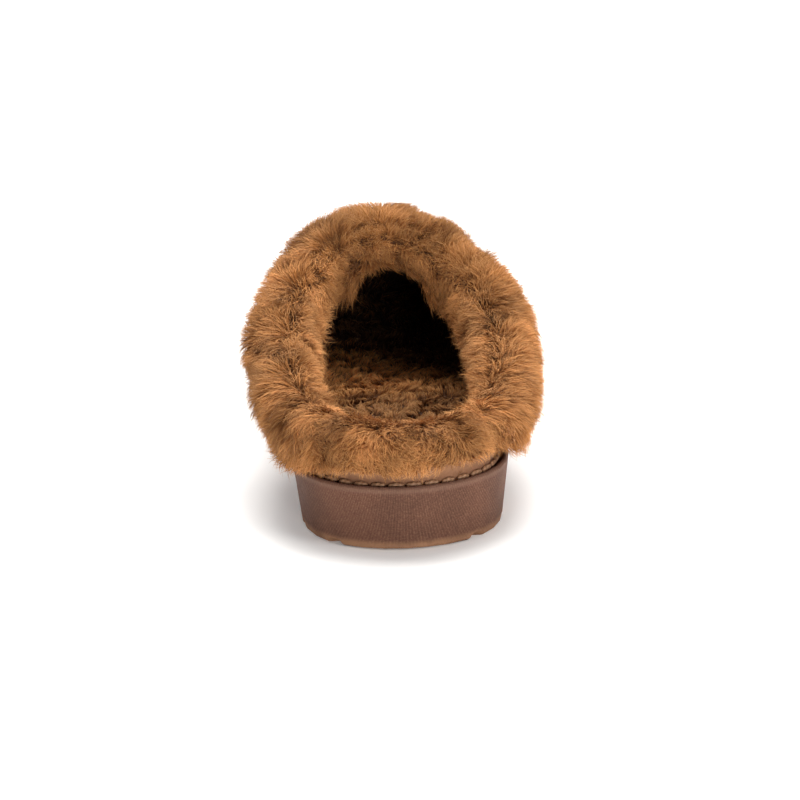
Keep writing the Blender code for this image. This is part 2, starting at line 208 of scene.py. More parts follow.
# Cuff. A zone is a pair of places between which something changes smoothly.
LINE_BINS = 60  # directions in which the top line is looked for
LINE_SMOOTHING = 3
LINE_POINTS = 900  # points of the top line that the cuff's hairs lie away from
CUFF_SMOOTHING = 7  # rounds that take the locks off the solid roll
CUFF_EASE = 0.5  # how far a round moves a point to the middle of its neighbours
CUFF_SINK = 4.0 * MM  # how far the ground lies under the solid
HEM_ZONE = (1 * MM, 7 * MM)  # distances from the upper, from the hem to the open roll
ROOT_ZONE = (1.2 * MM, 2.7 * MM)  # distances from the upper at which the hairs begin
FOLD_ZONE = (3 * MM, 8 * MM)  # distances from the top line, from the fold to the open roll
FOLD_GAP = 1.6 * MM  # least distance from the upper of the hairs at the fold
FOLD_WEIGHT = 0.5
FURROW_ZONE = (5 * MM, 10 * MM)  # distances from the top line, from the furrow to the open roll
FURROW_LENGTH = 0.9  # least length in the furrow
HEM_LENGTH = 0.82
COMBED_ACROSS = (-12 * MM, -2 * MM)  # part of the heel's hem that is combed short
COMBED_ALONG = (-120 * MM, -108 * MM)
COMBED_LOSS = 0.36
OVERHANG_ZONE = (28 * MM, 36 * MM)  # distances from the middle at which the hem hangs over
OVERHANG_GAIN = 0.4
INSIDE_LENGTH = 0.78
THROAT_ZONE = (50 * MM, 72 * MM)  # heights at which the hairs inside get shorter
THROAT_LOSS = 0.33
FLANK_START = (53 * MM, 61 * MM)  # heights at which the inner flank's hairs get longer
FLANK_END = (72 * MM, 82 * MM)  # and shorter again
FLANK_GAIN = 0.35
# Painted shade on the cuff's hairs, at the throat and low on the inner flank, where less light falls
PAINTED_SHADE_THROAT = (62 * MM, 76 * MM)  # heights of the painted shade at the throat
PAINTED_SHADE_THROAT_LOSS = 0.2
PAINTED_SHADE_ACROSS = (-42 * MM, -30 * MM)  # the painted shade low on the inner flank
PAINTED_SHADE_LOW = (46 * MM, 60 * MM)
PAINTED_SHADE_LOW_LOSS = 0.28
PATCH_WAVE = 14 * MM
PATCH_SHADE = 0.13
CUFF_WAVE = 22 * MM  # wave length of the cuff's chance sway
CUFF_SWAY = 0.9  # radians

# Pile of the insole and the lining
PAD_SINK = 0.8 * MM  # how far the pad lies under the solid
PILE_DEPTH = 1 * MM  # how far the hairs start under the solid
PILE_FACING = 0.25  # least upward share of a face that carries pile
PILE_LAY = (0.3, 1.0, 0.0)
PILE_WAVE = 20 * MM
PILE_SWAY = 1.6
LINING_LAY = (0.0, 1.0, -0.3)
LINING_WAVE = 30 * MM
LINING_SWAY = 1.2
LINING_FLOOR = 24 * MM  # height over which the lining shows
LINING_GAP = 0.5 * MM  # distance from the cuff over which it shows
HIDDEN_FROM = 30 * MM  # place along the foot from which the pile is thin, under the vamp
HIDDEN_SHARE = 0.2
# Painted light and shade of the pile inside the slipper
PAINTED_LIGHT_ZONE = (-50 * MM, -10 * MM)  # along the foot, from the darker heel to the painted light in the middle
HEEL_SHADE = 0.52
MIDDLE_PAINTED_LIGHT = 1.4
PAINTED_SHADE_ZONE = (-5 * MM, 40 * MM)  # along the foot, on a slant, from the lit part to the painted shade towards the toes
PAINTED_SHADE_SLANT = 1.5
PAINTED_SHADE_LOSS = 0.8

CUFF_SEED = 7
SWAY_SEED = 8
PILE_SEED = 9
LINING_SEED = 10
PATCH_SEED = 11


def between(value, low, high):
    """0 up to low, 1 from high on, and a smooth course from one to the other."""
    value = np.clip((value - low) / (high - low), 0, 1)
    return value * value * (3 - 2 * value)


def unit(vectors):
    return vectors / np.maximum(np.linalg.norm(vectors, axis=-1, keepdims=True), TINY)


def node_mesh(name):
    """A welded bmesh copy of a CAD node."""
    bm = bmesh.new()
    bm.from_mesh(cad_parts[name].data)
    bmesh.ops.remove_doubles(bm, verts=bm.verts, dist=WELD_DISTANCE)
    bm.normal_update()
    return bm


def node_tree(name):
    """A search tree over a CAD node's faces."""
    bm = node_mesh(name)
    tree = BVHTree.FromBMesh(bm)
    bm.free()
    return tree


def add_piece(name, mesh, slot, finish, *replaced):
    """Links a mesh as a piece of the slipper."""
    mesh.materials.clear()
    mesh.materials.append(finish)
    made = bpy.data.objects.new(name, mesh)
    bpy.context.collection.objects.link(made)
    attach(made, "root")
    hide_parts(*replaced)
    return made


def mesh_from(bm, name):
    mesh = bpy.data.meshes.new(name)
    bm.to_mesh(mesh)
    bm.free()
    return mesh


def put_values(mesh, name, values):
    """Keeps one value for each point of a mesh, which its finish reads."""
    made = mesh.attributes.new(name, "FLOAT", "POINT")
    made.data.foreach_set("value", np.asarray(values, np.float32))


class Nodes:
    """A short hand for building one material's node tree."""

    def __init__(self, name):
        self.material = bpy.data.materials.new(name)
        self.material.use_nodes = True
        self.tree = self.material.node_tree
        self.shader = self.tree.nodes["Principled BSDF"]

    def add(self, kind, **settings):
        node = self.tree.nodes.new(kind)
        for key, value in settings.items():
            setattr(node, key, value)
        return node

    def link(self, source, target):
        if isinstance(source, (int, float)):
            target.default_value = source
        elif isinstance(source, tuple):
            target.default_value = (*source, 1)
        else:
            self.tree.links.new(source, target)

    def attribute(self, name):
        return self.add("ShaderNodeAttribute", attribute_name=name).outputs["Fac"]

    def math(self, operation, first, second=0.0):
        node = self.add("ShaderNodeMath", operation=operation)
        self.link(first, node.inputs[0])
        self.link(second, node.inputs[1])
        return node.outputs[0]

    def spread(self, value, low, high, to_low=0.0, to_high=1.0):
        """Maps low..high to to_low..to_high smoothly, clamped."""
        node = self.add("ShaderNodeMapRange", interpolation_type="SMOOTHSTEP")
        for socket, given in zip(node.inputs, (value, low, high, to_low, to_high)):
            self.link(given, socket)
        return node.outputs[0]

    def noise(self, scale, detail=3.0, roughness=0.55, stretch=(1, 1, 1)):
        place = self.add("ShaderNodeTexCoord").outputs["Object"]
        mapping = self.add("ShaderNodeMapping")
        mapping.inputs["Scale"].default_value = stretch
        self.link(place, mapping.inputs["Vector"])
        node = self.add("ShaderNodeTexNoise")
        self.link(mapping.outputs[0], node.inputs["Vector"])
        self.link(scale, node.inputs["Scale"])
        self.link(detail, node.inputs["Detail"])
        self.link(roughness, node.inputs["Roughness"])
        return node.outputs["Fac"]

    def mix(self, share, first, second):
        node = self.add("ShaderNodeMix", data_type="RGBA")
        self.link(share, node.inputs["Factor"])
        colours = [socket for socket in node.inputs if socket.type == "RGBA"]
        self.link(first, colours[0])
        self.link(second, colours[1])
        return [socket for socket in node.outputs if socket.type == "RGBA"][0]

    def ramp(self, value, *stops):
        node = self.add("ShaderNodeValToRGB")
        self.link(value, node.inputs["Fac"])
        elements = node.color_ramp.elements
        while len(elements) < len(stops):
            elements.new(0.5)
        for element, (place, colour) in zip(elements, stops):
            element.position = place
            element.color = (*colour, 1)
        return node.outputs["Color"]

    def darken(self, colour, value):
        """A colour times a value."""
        node = self.add("ShaderNodeHueSaturation")
        self.link(colour, node.inputs["Color"])
        self.link(value, node.inputs["Value"])
        return node.outputs["Color"]

    def bump(self, height, distance, strength=1.0, below=None):
        node = self.add("ShaderNodeBump")
        self.link(height, node.inputs["Height"])
        self.link(distance, node.inputs["Distance"])
        self.link(strength, node.inputs["Strength"])
        if below is not None:
            self.link(below, node.inputs["Normal"])
        return node.outputs["Normal"]

    def finish(self, colour, roughness, normal=None, **settings):
        self.link(colour, self.shader.inputs["Base Color"])
        self.link(roughness, self.shader.inputs["Roughness"])
        if normal is not None:
            self.link(normal, self.shader.inputs["Normal"])
        for name, value in settings.items():
            self.link(value, self.shader.inputs[name.replace("_", " ").title().replace("Ior", "IOR")])
        return self.material


def sole_finish():
    """Moulded brown foam: fine lines down the side, speckle, painted bounce light from the floor on the
    lower edge and a painted highlight on the rim.
    """
    nodes = Nodes("moulded_foam")
    around = nodes.attribute("around")
    below_rim = nodes.attribute("below_rim")
    above_floor = nodes.attribute("above_floor")
    slant = nodes.spread(around, -LINE_FAN, LINE_FAN, -LINE_SLANT, LINE_SLANT)
    fanned = nodes.math("ADD", around, nodes.math("MULTIPLY", slant, above_floor))
    line = nodes.math("SINE", nodes.math("MULTIPLY", fanned, TURN / LINE_PITCH))
    speckle = nodes.noise(scale=1900, detail=2.0)
    cloud = nodes.noise(scale=70, detail=4.0)
    colour = nodes.ramp(nodes.math("ADD", speckle, nodes.math("MULTIPLY", line, LINE_TONE)), *FOAM_RAMP)
    colour = nodes.darken(colour, nodes.spread(cloud, *CLOUD_SPAN, *CLOUD_TONE))
    # Painted light: the lower edge is lighter where bounce light from the white floor would fall.
    floor_bounce = nodes.spread(above_floor, *FLOOR_BOUNCE_ZONE)
    floor_bounce = nodes.math("MULTIPLY", floor_bounce, nodes.spread(cloud, *FLOOR_BOUNCE_SPAN, *FLOOR_BOUNCE_SHARE))
    colour = nodes.mix(floor_bounce, colour, FLOOR_BOUNCE_COLOUR)
    # Painted highlight on the rounded top of the rim.
    rim_highlight = nodes.math("MULTIPLY", nodes.spread(below_rim, *RIM_HIGHLIGHT_ZONE), RIM_HIGHLIGHT_SHARE)
    colour = nodes.mix(rim_highlight, colour, RIM_HIGHLIGHT_COLOUR)
    lines = nodes.math("MULTIPLY", line, LINE_RELIEF)
    relief = nodes.math("ADD", lines, nodes.math("MULTIPLY", speckle, SPECKLE_RELIEF))
    normal = nodes.bump(relief, distance=0.08 * MM, strength=0.6)
    return nodes.finish(colour, roughness=0.68, normal=normal, specular_ior_level=0.2)


def suede_finish():
    """Suede with a short brushed nap, and nearly black painted shade on its inner face."""
    nodes = Nodes("suede")
    brushed = nodes.noise(scale=55, detail=5.0, roughness=0.6, stretch=(1.0, 0.45, 1.0))
    nap = nodes.noise(scale=1500, detail=3.0, roughness=0.7)
    clouds = nodes.math("MULTIPLY", brushed, BRUSHED_SHARE)
    mixed = nodes.math("ADD", clouds, nodes.math("MULTIPLY", nap, 1 - BRUSHED_SHARE))
    # The inner face takes a nearly black painted shade.
    colour = nodes.mix(nodes.attribute("lining"), nodes.ramp(mixed, *SUEDE_RAMP), INNER_SHADE_COLOUR)
    swells = nodes.bump(brushed, distance=0.6 * MM, strength=0.35)
    return nodes.finish(
        colour,
        roughness=0.95,
        normal=nodes.bump(nap, distance=0.10 * MM, strength=0.6, below=swells),
        sheen_weight=0.12,
        sheen_roughness=0.5,
        sheen_tint=SUEDE_SHEEN,
    )


def fur_finish(name, colours):
    """Hairs that are dark at the root and pale at the tip, with a shade of their own and the painted light
    and shade that their tint carries.
    """
    nodes = Nodes(name)
    colour = nodes.ramp(nodes.attribute("along"), *zip(FUR_STOPS, colours))
    colour = nodes.darken(colour, nodes.attribute("tint"))
    return nodes.finish(
        colour,
        roughness=0.7,
        specular_ior_level=0.15,
        sheen_weight=0.1,
        sheen_roughness=0.4,
        sheen_tint=FUR_SHEEN,
    )


def skin_finish(name, colours):
    """The matted ground that the hairs grow out of, lightened or darkened by its tint, which holds painted
    light and shade.
    """
    nodes = Nodes(name)
    tufts = nodes.noise(scale=420, detail=4.0, roughness=0.65)
    colour = nodes.darken(nodes.ramp(tufts, *zip(SKIN_STOPS, colours)), nodes.attribute("tint"))
    return nodes.finish(colour, roughness=0.95, normal=nodes.bump(tufts, distance=1.2 * MM, strength=0.8))


def thread_finish():
    """Waxed tan thread, with its ply."""
    nodes = Nodes("thread")
    ply = nodes.attribute("ply")
    normal = nodes.bump(ply, distance=0.12 * MM, strength=0.8)
    return nodes.finish(nodes.ramp(ply, *PLY_RAMP), roughness=0.55, normal=normal)


def hole_finish():
    """Painted shade of a needle hole's inside, on a flat disc."""
    nodes = Nodes("needle_hole")
    return nodes.finish(nodes.ramp(nodes.noise(scale=900), *HOLE_SHADE_RAMP), roughness=0.9)


class Rim:
    """The rim of the sole in fine steps. Distances round it count from the heel by the outer side."""

    def __init__(self, steps=RIM_STEPS):
        tree = node_tree("sole")
        self.turn = (np.arange(steps + 1) / steps - 0.5) * TURN
        self.side = np.empty((steps + 1, 2))
        self.inward = np.empty((steps + 1, 2))
        self.edge_height = np.empty(steps + 1)
        self.channel_height = np.empty(steps + 1)
        for k, turn in enumerate(self.turn):
            out = Vector((math.sin(turn), -math.cos(turn), 0))
            place, normal, _, _ = tree.ray_cast(out * PROBE_REACH + Vector((0, 0, SIDE_HEIGHT)), -out)
            inward = -normal.to_2d().normalized()
            self.side[k] = place.to_2d()
            self.inward[k] = inward
            self.edge_height[k] = self.look_down(tree, EDGE_INSET, k)
            self.channel_height[k] = self.look_down(tree, CHANNEL_INSET, k)
        steps_along = np.linalg.norm(np.diff(self.side, axis=0), axis=1)
        travelled = np.append(0, np.cumsum(steps_along))
        self.around = travelled - np.interp(0, self.turn, travelled)
        self.length = travelled[-1]
        ring = self.inward[:-1]
        for _ in range(SIDE_SMOOTHING):
            ring = (np.roll(ring, 1, axis=0) + 2 * ring + np.roll(ring, -1, axis=0)) / 4
        self.smooth_inward = unit(np.append(ring, ring[:1], axis=0))

    def outward(self, turn):
        """The smooth side's normal in a direction from the middle."""
        across, along = (np.interp(turn, self.turn, values) for values in self.smooth_inward.T)
        return Vector((-across, -along, -SIDE_LEAN)).normalized()

    def look_down(self, tree, inset, k):
        """Height of the sole at inset from its side."""
        place = self.side[k] + self.inward[k] * inset
        return tree.ray_cast(Vector((*place, PROBE_TOP)), Vector((0, 0, -1)))[0].z

    def line(self, around, inset, heights):
        """Points at distances round the rim, at inset from the side, with these heights."""
        around = (around - self.around[0]) % self.length + self.around[0]
        places = self.side + self.inward * inset
        columns = [np.interp(around, self.around, values) for values in (*places.T, heights)]
        return np.column_stack(columns)


def turn_of(place):
    """Direction from the middle of the slipper, 0 at the heel and growing by the outer side."""
    return math.atan2(place.x, -place.y)


def even_side(mesh, rim):
    """Gives the faces of the side the normals of the smooth side, so that they shade as one surface."""
    normals = np.zeros((len(mesh.loops), 3))
    for face in mesh.polygons:
        for corner in face.loop_indices:
            turn = turn_of(mesh.vertices[mesh.loops[corner].vertex_index].co)
            out = rim.outward(turn)
            if out.dot(face.normal) > SIDE_LIKENESS:
                normals[corner] = out
    mesh.normals_split_custom_set(normals)


def dress_sole(rim):
    """The sole with distances along and down its side, which its finish reads."""
    bm = node_mesh("sole")
    around = bm.loops.layers.float.new("around")
    below_rim = bm.loops.layers.float.new("below_rim")
    above_floor = bm.loops.layers.float.new("above_floor")
    for face in bm.faces:
        face.smooth = True
        turns = [turn_of(loop.vert.co) for loop in face.loops]
        if max(turns) - min(turns) > math.pi:
            turns = [turn % TURN for turn in turns]
        for loop, turn in zip(face.loops, turns):
            over = turn > math.pi
            at = turn - TURN if over else turn
            loop[around] = np.interp(at, rim.turn, rim.around) + (rim.length if over else 0)
            loop[below_rim] = np.interp(at, rim.turn, rim.edge_height) - loop.vert.co.z
            loop[above_floor] = loop.vert.co.z
    mesh = mesh_from(bm, "sole_body")
    mesh.set_sharp_from_angle(angle=SHARP_ANGLE)
    even_side(mesh, rim)
    add_piece("sole_body", mesh, "sole", sole_finish(), "sole")


def stitch_steps(rim):
    """Number of stitches round the rim, and the distance from one to the next."""
    count = round(rim.length / STITCH_PITCH)
    return count, rim.length / count


def add_stitch(bm, ply, line, radius):
    """One length of thread along a line, with its ply wound round it."""
    share = np.linspace(-0.5, 0.5, len(line))
    ahead = unit(np.gradient(line, axis=0))
    across = unit(np.cross(ahead, (0, 0, 1)))
    up = np.cross(across, ahead)
    rings = []
    for i, place in enumerate(line):
        ring = []
        for side in range(THREAD_SIDES):
            angle = side / THREAD_SIDES * TURN
            out = math.cos(angle) * across[i] + math.sin(angle) * up[i]
            vert = bm.verts.new(place + radius[i] * out)
            vert[ply] = 0.5 + 0.5 * math.sin(THREAD_PLIES * angle + share[i] * THREAD_TURNS * TURN)
            ring.append(vert)
        rings.append(ring)
    for low, high in zip(rings, rings[1:]):
        for side in range(THREAD_SIDES):
            after = (side + 1) % THREAD_SIDES
            bm.faces.new((low[side], low[after], high[after], high[side])).smooth = True
    bm.faces.new(rings[0][::-1])
    bm.faces.new(rings[-1])


def sew_channel(rim):
    """The thread in the channel, one arched stitch after another."""
    count, pitch = stitch_steps(rim)
    bm = bmesh.new()
    ply = bm.verts.layers.float.new("ply")
    share = np.linspace(-0.5, 0.5, THREAD_RINGS)
    arch = (np.cos(share * math.pi) - ARCH_SINK) * STITCH_ARCH * THREAD_RADIUS
    radius = THREAD_RADIUS * np.sqrt(np.maximum(THREAD_END, 1 - (2 * share) ** THREAD_FULLNESS))
    for k in range(count):
        around = (k + 0.5 + share * STITCH_SHARE) * pitch
        line = rim.line(around, CHANNEL_INSET, rim.channel_height)
        line[:, 2] += THREAD_RADIUS + arch
        add_stitch(bm, ply, line, radius)
    add_piece("channel_thread", mesh_from(bm, "channel_thread"), "upper", thread_finish())


def punch_holes(rim):
    """The needle holes between the stitches."""
    count, pitch = stitch_steps(rim)
    bm = bmesh.new()
    for place in rim.line(np.arange(count) * pitch, CHANNEL_INSET, rim.channel_height):
        made = bmesh.ops.create_circle(bm, cap_ends=True, radius=HOLE_RADIUS, segments=HOLE_SIDES)
        for vert in made["verts"]:
            vert.co += Vector(place) + Vector((0, 0, HOLE_LIFT))
    add_piece("needle_holes", mesh_from(bm, "needle_holes"), "sole", hole_finish())


def looks_inward(middle, normal):
    """Whether a face of the upper belongs to its inner side."""
    along = min(max(middle[1], -INSIDE_REACH), INSIDE_REACH)
    return (Vector((0, along, INSIDE_HEIGHT)) - Vector(middle)).dot(Vector(normal)) > 0


def dress_upper():
    """The suede shell, rounded off between the CAD rows."""
    bm = node_mesh("upper")
    bmesh.ops.join_triangles(
        bm, faces=bm.faces, angle_face_threshold=FLAT_ANGLE, angle_shape_threshold=SQUARE_ANGLE
    )
    # The lining share marks the inner faces that get the painted shade.
    lining = bm.loops.layers.float.new("lining")
    for face in bm.faces:
        face.smooth = True
        inside = looks_inward(face.calc_center_median(), face.normal)
        for loop in face.loops:
            loop[lining] = float(inside)
    made = add_piece("suede_upper", mesh_from(bm, "suede_upper"), "upper", suede_finish(), "upper")
    rounded = made.modifiers.new("rounded", "SUBSURF")
    rounded.levels = 1
    rounded.render_levels = 1


class Ground:
    """The ground that a fur grows from, as triangles with smooth normals."""

    def __init__(self, bm):
        bmesh.ops.triangulate(bm, faces=bm.faces)
        bm.normal_update()
        bm.verts.index_update()
        self.places = np.array([vert.co for vert in bm.verts])
        self.normals = np.array([vert.normal for vert in bm.verts])
        self.corners = np.array([[vert.index for vert in face.verts] for face in bm.faces])
        self.middles = self.places[self.corners].mean(axis=1)
        self.facing = np.array([face.normal for face in bm.faces])
        self.areas = np.array([face.calc_area() for face in bm.faces])

    def scatter(self, count, weights, chance):
        """Chance places on the faces, by area times weight, and their normals."""
        share = self.areas * weights
        face = self.corners[chance.choice(len(share), count, p=share / share.sum())]
        first, second = chance.random((2, count, 1))
        over = first + second > 1
        first = np.where(over, 1 - first, first)
        second = np.where(over, 1 - second, second)
        third = 1 - first - second
        places = third * self.places[face[:, 0]] + first * self.places[face[:, 1]]
        places += second * self.places[face[:, 2]]
        normals = third * self.normals[face[:, 0]] + first * self.normals[face[:, 1]]
        normals += second * self.normals[face[:, 2]]
        return places, unit(normals)


def nearest_of(places, others):
    """Index of the nearest of the others to each place."""
    tree = KDTree(len(others))
    for i, other in enumerate(others):
        tree.insert(other, i)
    tree.balance()
    return np.array([tree.find(place)[1] for place in places])


def sway(places, wave, chance):
    """A smooth chance value over space with this wave length, mostly between -1 and 1."""
    total = 0
    for _ in range(SWAY_WAVES):
        heading = unit(chance.normal(size=3)) * TURN / wave
        total = total + np.sin(places @ heading + chance.uniform(0, TURN))
    return total / math.sqrt(SWAY_WAVES)


def turned(vectors, axes, angle):
    """Vectors turned about axes that are square to them."""
    angle = angle[:, None]
    return vectors * np.cos(angle) + np.cross(axes, vectors) * np.sin(angle)


def flattened(vectors, normals):
    """Directions along the ground that come nearest to these vectors."""
    return unit(vectors - normals * np.sum(vectors * normals, axis=1, keepdims=True))


def hair_points(fur, roots, scale, chance):
    """Points of each hair from root to tip, and a chance shade for it."""
    places, normals, lay = roots
    count = len(places)
    heads = chance.choice(count, count // fur.lock, replace=False)
    lock = nearest_of(places, places[heads])
    twist = chance.normal(0, fur.wildness, len(heads))[lock] + chance.normal(0, HAIR_TWIST, count)
    lay = turned(lay, normals, twist)
    size = chance.uniform(*LOCK_SIZE, len(heads))[lock] * chance.uniform(*HAIR_SIZE, count)
    size = np.where(chance.random(count) < STRAY_SHARE, size * STRAY_LENGTH, size)
    length = (fur.length * scale * size)[:, None, None]
    stand = fur.stand * chance.uniform(*LOCK_STAND, len(heads))[lock][:, None, None]
    s = STOPS[None, :, None]
    # A hair leaves its root upright and lies over towards its tip.
    upright = normals[:, None] * (ROOT_RISE * s + (1 - ROOT_RISE) * s * s) * stand
    along = lay[:, None] * (ROOT_LEAN * s + (1 - ROOT_LEAN) * s * s) * fur.lie
    points = places[:, None] + length * (upright + along)
    tips = points[heads, -1][lock] + chance.normal(0, TIP_SPREAD, (count, 3)) * fur.length
    pull = fur.gather * chance.uniform(*HAIR_GATHER, count)[:, None, None]
    points = points + (tips - points[:, -1])[:, None] * pull * s**GATHER_POWER
    across = np.cross(normals, lay)[:, None]
    bend = np.sin(s * chance.uniform(*BEND_TURN, (count, 1, 1)) + chance.uniform(0, TURN, (count, 1, 1)))
    curl = chance.normal(0, fur.curl, len(heads))[lock][:, None, None]
    points = points + across * (bend * s * BEND_REACH + curl * s * s) * fur.length
    shade = chance.normal(0, LOCK_SHADE, len(heads))[lock] + chance.normal(0, HAIR_SHADE, count)
    return points, 1 + np.clip(shade, *SHADE_LIMITS)


def ribbon_mesh(name, left, right):
    """A mesh of ribbons, each two quads and a triangle between its left and right points."""
    count = len(left)
    pairs = np.stack([left, right], axis=2)[:, :-1].reshape(count, -1, 3)
    verts = np.concatenate([pairs, left[:, -1:]], axis=1)
    first = np.arange(count)[:, None] * verts.shape[1]
    quads = np.concatenate([first + [0, 1, 3, 2], first + [2, 3, 5, 4]], axis=1)
    tops = first + [4, 5, 6]
    loops = np.concatenate([quads.ravel(), tops.ravel()])
    starts = np.concatenate([np.arange(2 * count) * 4, quads.size + np.arange(count) * 3])
    mesh = bpy.data.meshes.new(name)
    mesh.vertices.add(verts.shape[0] * verts.shape[1])
    mesh.vertices.foreach_set("co", verts.ravel().astype(np.float32))
    mesh.loops.add(len(loops))
    mesh.loops.foreach_set("vertex_index", loops.astype(np.int32))
    mesh.polygons.add(len(starts))
    mesh.polygons.foreach_set("loop_start", starts.astype(np.int32))
    mesh.update(calc_edges=True)
    mesh.shade_smooth()
    return mesh


def hair_mesh(name, fur, roots, scale, tone, chance):
    """A mesh of hairs, each a ribbon that narrows to its tip; tone lightens or darkens a hair, with painted
    light and shade.
    """
    count = len(roots.places)
    points, shade = hair_points(fur, roots, scale, chance)
    face = turned(roots.normals, unit(roots.lay), chance.normal(0, RIBBON_TWIST, count))[:, None]
    side = unit(np.cross(np.gradient(points, axis=1), face))
    width = fur.width / 2 * chance.uniform(*HAIR_WIDTH, (count, 1, 1)) * TAPER[None, :, None]
    mesh = ribbon_mesh(name, points - side * width, points + side * width)
    along = np.repeat(STOPS, 2)[:-1]
    put_values(mesh, "along", np.tile(along, count))
    put_values(mesh, "tint", np.repeat(shade * tone, len(along)))
    return mesh


def top_line(bins=LINE_BINS):
    """Points of the upper's top line, the highest in each direction from the middle of the opening."""
    low, high = (np.array(corner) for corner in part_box("cuff"))
    middle = (low + high) / 2
    bm = node_mesh("upper")
    places = np.array([vert.co for vert in bm.verts])
    bm.free()
    turn = np.arctan2(places[:, 0] - middle[0], middle[1] - places[:, 1])
    bin_of = np.floor((turn / TURN + 0.5) * bins).astype(int) % bins
    points = []
    for k in range(bins):
        here = places[bin_of == k]
        if len(here):
            points.append(here[here[:, 2].argmax()])
    points = np.array(points)
    for _ in range(LINE_SMOOTHING):
        points = (np.roll(points, 1, axis=0) + 2 * points + np.roll(points, -1, axis=0)) / 4
    ring = np.append(points, points[:1], axis=0)
    fine = np.linspace(0, len(points), LINE_POINTS, endpoint=False)
    return np.column_stack([np.interp(fine, np.arange(len(ring)), values) for values in ring.T])


def cuff_ground(upper):
    """The roll under its fur: the CAD roll without its locks, drawn in where it isn't against the upper."""
    bm = node_mesh("cuff")
    for _ in range(CUFF_SMOOTHING):
        bmesh.ops.smooth_vert(
            bm, verts=bm.verts, factor=CUFF_EASE, use_axis_x=True, use_axis_y=True, use_axis_z=True
        )
    bm.normal_update()
    for vert in bm.verts:
        away = upper.find_nearest(vert.co)[3]
        vert.co -= vert.normal * CUFF_SINK * float(between(away, *HEM_ZONE))
    bm.normal_update()
    for face in bm.faces:
        face.smooth = True
    return bm


def cuff_hair_scale(places, line, upper):
    """Share of the full length: short at the hems and inside, longer on the inner flank."""
    fold = line[nearest_of(places, line)]
    away = np.array([upper.find_nearest(place)[3] for place in places])
    from_fold = np.linalg.norm(places - fold, axis=1)
    x, y, z = places.T
    combed = (1 - between(x, *COMBED_ACROSS)) * (1 - between(y, *COMBED_ALONG))
    hem = HEM_LENGTH - COMBED_LOSS * combed + OVERHANG_GAIN * between(np.abs(x), *OVERHANG_ZONE)
    hem = hem + (1 - hem) * between(away, *HEM_ZONE)
    furrow = FURROW_LENGTH * (1 - between(from_fold, *FURROW_ZONE))
    middle = line.mean(axis=0)[:2]
    inside = np.linalg.norm(places[:, :2] - middle, axis=1) < np.linalg.norm(fold[:, :2] - middle, axis=1)
    throat = between(z, *THROAT_ZONE)
    flank = between(z, *FLANK_START) * (1 - between(z, *FLANK_END)) * (x < 0)
    side = np.where(inside, INSIDE_LENGTH - THROAT_LOSS * throat, 1 + FLANK_GAIN * flank)
    return np.maximum(hem, furrow) * side


def cuff_patches_and_painted_shade(places):
    """Shade of the cuff's hairs: chance patches, and painted shade at the throat and low on the inner side.
    """
    x, _, z = places.T
    throat = between(z, *PAINTED_SHADE_THROAT)
    flank = (1 - between(x, *PAINTED_SHADE_ACROSS)) * (1 - between(z, *PAINTED_SHADE_LOW))
    patches = sway(places, PATCH_WAVE, np.random.default_rng(PATCH_SEED))
    # Painted shade at the throat and on the inner flank, times chance patches.
    return (1 - PAINTED_SHADE_THROAT_LOSS * throat - PAINTED_SHADE_LOW_LOSS * flank) * (1 + PATCH_SHADE * patches)


def dress_cuff(upper):
    """The shearling roll: its ground, and hairs that lie away from the furrow over the top line."""
    chance = np.random.default_rng(CUFF_SEED)
    bm = cuff_ground(upper)
    ground = Ground(bm)
    skin = skin_finish("shearling_ground", CUFF_SKIN)
    mesh = mesh_from(bm, "cuff_ground")
    put_values(mesh, "tint", np.ones(len(mesh.vertices)))
    add_piece("cuff_ground", mesh, "cuff", skin, "cuff")
    away = np.array([upper.find_nearest(middle)[3] for middle in ground.middles])
    line = top_line()
    from_fold = np.linalg.norm(ground.middles - line[nearest_of(ground.middles, line)], axis=1)
    weights = between(away, *ROOT_ZONE)
    weights = weights + FOLD_WEIGHT * (1 - between(from_fold, *FOLD_ZONE)) * (away > FOLD_GAP)
    finish = fur_finish("shearling", CUFF_COLOURS)
    for part in range(CUFF_PARTS):
        name = f"cuff_fur_{part + 1}"
        places, normals = ground.scatter(HAIRS_A_PART, weights, chance)
        lay = flattened(places - line[nearest_of(places, line)], normals)
        swayed = CUFF_SWAY * sway(places, CUFF_WAVE, np.random.default_rng(SWAY_SEED))
        lay = turned(lay, normals, swayed)
        scale = cuff_hair_scale(places, line, upper)
        mesh = hair_mesh(name, CUFF_FUR, Roots(places, normals, lay), scale, cuff_patches_and_painted_shade(places), chance)
        add_piece(name, mesh, "cuff", finish, "cuff")


def painted_inside_light(places):
    """Painted light and shade of the pile inside: darker at the heel, painted light in the middle, and
    painted shade towards the toes and the outer side.
    """
    x, y, _ = places.T
    painted_light = HEEL_SHADE + (MIDDLE_PAINTED_LIGHT - HEEL_SHADE) * between(y, *PAINTED_LIGHT_ZONE)
    return painted_light * (1 - PAINTED_SHADE_LOSS * between(y + PAINTED_SHADE_SLANT * x, *PAINTED_SHADE_ZONE))


def thinned(middles):
    """Share of hairs by place along the foot: few of them where the vamp hides them."""
    return np.where(middles[:, 1] > HIDDEN_FROM, HIDDEN_SHARE, 1.0)


